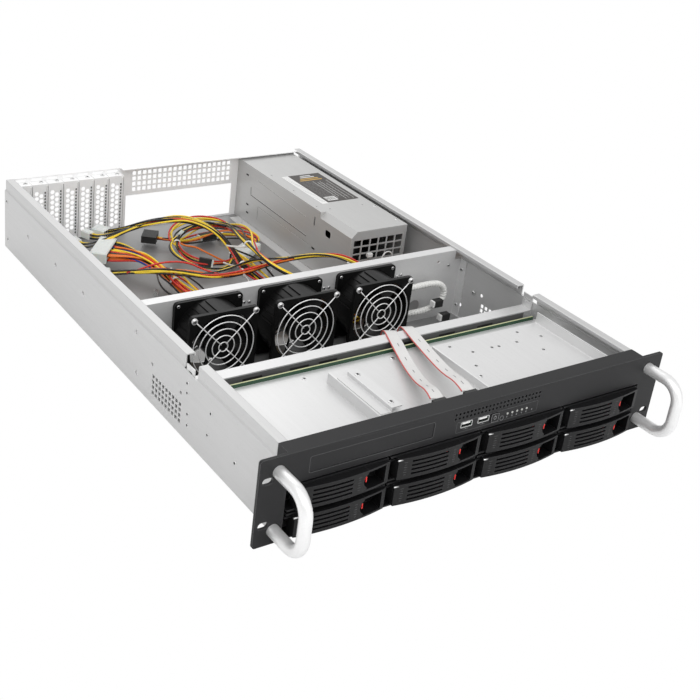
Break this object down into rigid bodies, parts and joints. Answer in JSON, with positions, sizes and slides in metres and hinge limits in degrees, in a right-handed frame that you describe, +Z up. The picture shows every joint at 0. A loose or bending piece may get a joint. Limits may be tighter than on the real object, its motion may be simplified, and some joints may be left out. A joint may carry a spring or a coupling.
{
  "type": "barebone server",
  "caption": "Open rack server chassis with front drive trays, cooling fans, a power supply and U-shaped ear handles, and no main board.",
  "frame": {"origin": "under the middle of the whole, on the surface that it stands on, halfway between the handles' front and the rear wall", "axes": "+X to the right seen from the front, +Y from the front panel to the rear wall, +Z up"},
  "size_m": [0.4826, 0.7, 0.088],
  "materials": {
    "zinc_steel": "satin zinc plated sheet",
    "front_paint": "fine textured powder coat",
    "handle_metal": "satin anodised",
    "fan_plastic": "moulded, matt",
    "guard_wire": "bright wire",
    "circuit_board": "green solder mask",
    "socket_plastic": "matt",
    "wire_cover": "soft wire cover",
    "lead_wrap": "clear spiral wrap",
    "ribbon_film": "smooth film",
    "clear_plastic": "clear",
    "button_plastic": "matt",
    "power_parts": "dark",
    "post_brass": "machined",
    "tray_plastic": "fine grained",
    "latch_red": "satin"
  },
  "bodies": {
    "chassis": {"chassis_base": "zinc_steel", "rear_panel": "zinc_steel", "fan_wall": "zinc_steel", "cross_brace": "zinc_steel", "drive_cage": "zinc_steel", "brackets": "zinc_steel", "upper_shelf": "zinc_steel", "slot_covers": "zinc_steel", "psu_case": "zinc_steel", "psu_cover": "zinc_steel", "front_panel": "front_paint", "bay_blank": "front_paint", "handles": "handle_metal", "fan_frames": "fan_plastic", "fan_guards": "guard_wire", "backplane": "circuit_board", "control_board": "circuit_board", "plugs_black": "socket_plastic", "plugs_clear": "clear_plastic", "ribbon_left": "ribbon_film", "ribbon_right": "ribbon_film", "fan_lead": "lead_wrap", "psu_core": "power_parts", "psu_inlet": "socket_plastic", "standoffs": "post_brass", "harness_board": "wire_cover", "harness_processor": "wire_cover", "harness_drives": "wire_cover", "harness_storage": "wire_cover", "harness_loop": "wire_cover"},
    "tray_1": {"tray_1": "tray_plastic"},
    "lever_1": {"lever_1": "tray_plastic"},
    "latch_1": {"latch_1": "latch_red"},
    "tray_2": {"tray_2": "tray_plastic"},
    "lever_2": {"lever_2": "tray_plastic"},
    "latch_2": {"latch_2": "latch_red"},
    "tray_3": {"tray_3": "tray_plastic"},
    "lever_3": {"lever_3": "tray_plastic"},
    "latch_3": {"latch_3": "latch_red"},
    "tray_4": {"tray_4": "tray_plastic"},
    "lever_4": {"lever_4": "tray_plastic"},
    "latch_4": {"latch_4": "latch_red"},
    "tray_5": {"tray_5": "tray_plastic"},
    "lever_5": {"lever_5": "tray_plastic"},
    "latch_5": {"latch_5": "latch_red"},
    "tray_6": {"tray_6": "tray_plastic"},
    "lever_6": {"lever_6": "tray_plastic"},
    "latch_6": {"latch_6": "latch_red"},
    "tray_7": {"tray_7": "tray_plastic"},
    "lever_7": {"lever_7": "tray_plastic"},
    "latch_7": {"latch_7": "latch_red"},
    "tray_8": {"tray_8": "tray_plastic"},
    "lever_8": {"lever_8": "tray_plastic"},
    "latch_8": {"latch_8": "latch_red"},
    "fan_rotor_1": {"fan_rotor_1": "fan_plastic"},
    "fan_rotor_2": {"fan_rotor_2": "fan_plastic"},
    "fan_rotor_3": {"fan_rotor_3": "fan_plastic"},
    "psu_fan_rotor": {"psu_fan_rotor": "fan_plastic"},
    "power_button": {"power_button": "button_plastic"},
    "reset_button": {"reset_button": "button_plastic"}
  },
  "joints": [
    {"name": "tray_1_slide", "type": "slide", "parent": "chassis", "child": "tray_1", "axis": [0, -1, 0], "range_m": [0, 0.13]},
    {"name": "lever_1_swing", "type": "hinge", "parent": "tray_1", "child": "lever_1", "pos_m": [-0.201, -0.296, 0.0143], "axis": [0, 0, -1], "range_deg": [0, 70]},
    {"name": "latch_1_press", "type": "slide", "parent": "lever_1", "child": "latch_1", "axis": [-1, 0, 0], "range_m": [0, 0.002], "stiffness_N_per_m": 500, "springref_m": -0.001},
    {"name": "tray_2_slide", "type": "slide", "parent": "chassis", "child": "tray_2", "axis": [0, -1, 0], "range_m": [0, 0.13]},
    {"name": "lever_2_swing", "type": "hinge", "parent": "tray_2", "child": "lever_2", "pos_m": [-0.095, -0.296, 0.0143], "axis": [0, 0, -1], "range_deg": [0, 70]},
    {"name": "latch_2_press", "type": "slide", "parent": "lever_2", "child": "latch_2", "axis": [-1, 0, 0], "range_m": [0, 0.002], "stiffness_N_per_m": 500, "springref_m": -0.001},
    {"name": "tray_3_slide", "type": "slide", "parent": "chassis", "child": "tray_3", "axis": [0, -1, 0], "range_m": [0, 0.13]},
    {"name": "lever_3_swing", "type": "hinge", "parent": "tray_3", "child": "lever_3", "pos_m": [0.011, -0.296, 0.0143], "axis": [0, 0, -1], "range_deg": [0, 70]},
    {"name": "latch_3_press", "type": "slide", "parent": "lever_3", "child": "latch_3", "axis": [-1, 0, 0], "range_m": [0, 0.002], "stiffness_N_per_m": 500, "springref_m": -0.001},
    {"name": "tray_4_slide", "type": "slide", "parent": "chassis", "child": "tray_4", "axis": [0, -1, 0], "range_m": [0, 0.13]},
    {"name": "lever_4_swing", "type": "hinge", "parent": "tray_4", "child": "lever_4", "pos_m": [0.117, -0.296, 0.0143], "axis": [0, 0, -1], "range_deg": [0, 70]},
    {"name": "latch_4_press", "type": "slide", "parent": "lever_4", "child": "latch_4", "axis": [-1, 0, 0], "range_m": [0, 0.002], "stiffness_N_per_m": 500, "springref_m": -0.001},
    {"name": "tray_5_slide", "type": "slide", "parent": "chassis", "child": "tray_5", "axis": [0, -1, 0], "range_m": [0, 0.13]},
    {"name": "lever_5_swing", "type": "hinge", "parent": "tray_5", "child": "lever_5", "pos_m": [-0.201, -0.296, 0.0424], "axis": [0, 0, -1], "range_deg": [0, 70]},
    {"name": "latch_5_press", "type": "slide", "parent": "lever_5", "child": "latch_5", "axis": [-1, 0, 0], "range_m": [0, 0.002], "stiffness_N_per_m": 500, "springref_m": -0.001},
    {"name": "tray_6_slide", "type": "slide", "parent": "chassis", "child": "tray_6", "axis": [0, -1, 0], "range_m": [0, 0.13]},
    {"name": "lever_6_swing", "type": "hinge", "parent": "tray_6", "child": "lever_6", "pos_m": [-0.095, -0.296, 0.0424], "axis": [0, 0, -1], "range_deg": [0, 70]},
    {"name": "latch_6_press", "type": "slide", "parent": "lever_6", "child": "latch_6", "axis": [-1, 0, 0], "range_m": [0, 0.002], "stiffness_N_per_m": 500, "springref_m": -0.001},
    {"name": "tray_7_slide", "type": "slide", "parent": "chassis", "child": "tray_7", "axis": [0, -1, 0], "range_m": [0, 0.13]},
    {"name": "lever_7_swing", "type": "hinge", "parent": "tray_7", "child": "lever_7", "pos_m": [0.011, -0.296, 0.0424], "axis": [0, 0, -1], "range_deg": [0, 70]},
    {"name": "latch_7_press", "type": "slide", "parent": "lever_7", "child": "latch_7", "axis": [-1, 0, 0], "range_m": [0, 0.002], "stiffness_N_per_m": 500, "springref_m": -0.001},
    {"name": "tray_8_slide", "type": "slide", "parent": "chassis", "child": "tray_8", "axis": [0, -1, 0], "range_m": [0, 0.13]},
    {"name": "lever_8_swing", "type": "hinge", "parent": "tray_8", "child": "lever_8", "pos_m": [0.117, -0.296, 0.0424], "axis": [0, 0, -1], "range_deg": [0, 70]},
    {"name": "latch_8_press", "type": "slide", "parent": "lever_8", "child": "latch_8", "axis": [-1, 0, 0], "range_m": [0, 0.002], "stiffness_N_per_m": 500, "springref_m": -0.001},
    {"name": "fan_1_spin", "type": "hinge", "parent": "chassis", "child": "fan_rotor_1", "pos_m": [-0.132, -0.03, 0.044], "axis": [0, 1, 0], "continuous": true},
    {"name": "fan_2_spin", "type": "hinge", "parent": "chassis", "child": "fan_rotor_2", "pos_m": [-0.031, -0.03, 0.044], "axis": [0, 1, 0], "continuous": true},
    {"name": "fan_3_spin", "type": "hinge", "parent": "chassis", "child": "fan_rotor_3", "pos_m": [0.07, -0.03, 0.044], "axis": [0, 1, 0], "continuous": true},
    {"name": "psu_fan_spin", "type": "hinge", "parent": "chassis", "child": "psu_fan_rotor", "pos_m": [0.165, 0.335, 0.042], "axis": [0, 1, 0], "continuous": true},
    {"name": "power_press", "type": "slide", "parent": "chassis", "child": "power_button", "axis": [0, 1, 0], "range_m": [0, 0.0015], "stiffness_N_per_m": 600, "springref_m": -0.001},
    {"name": "reset_press", "type": "slide", "parent": "chassis", "child": "reset_button", "axis": [0, 1, 0], "range_m": [0, 0.001], "stiffness_N_per_m": 600, "springref_m": -0.001}
  ]
}
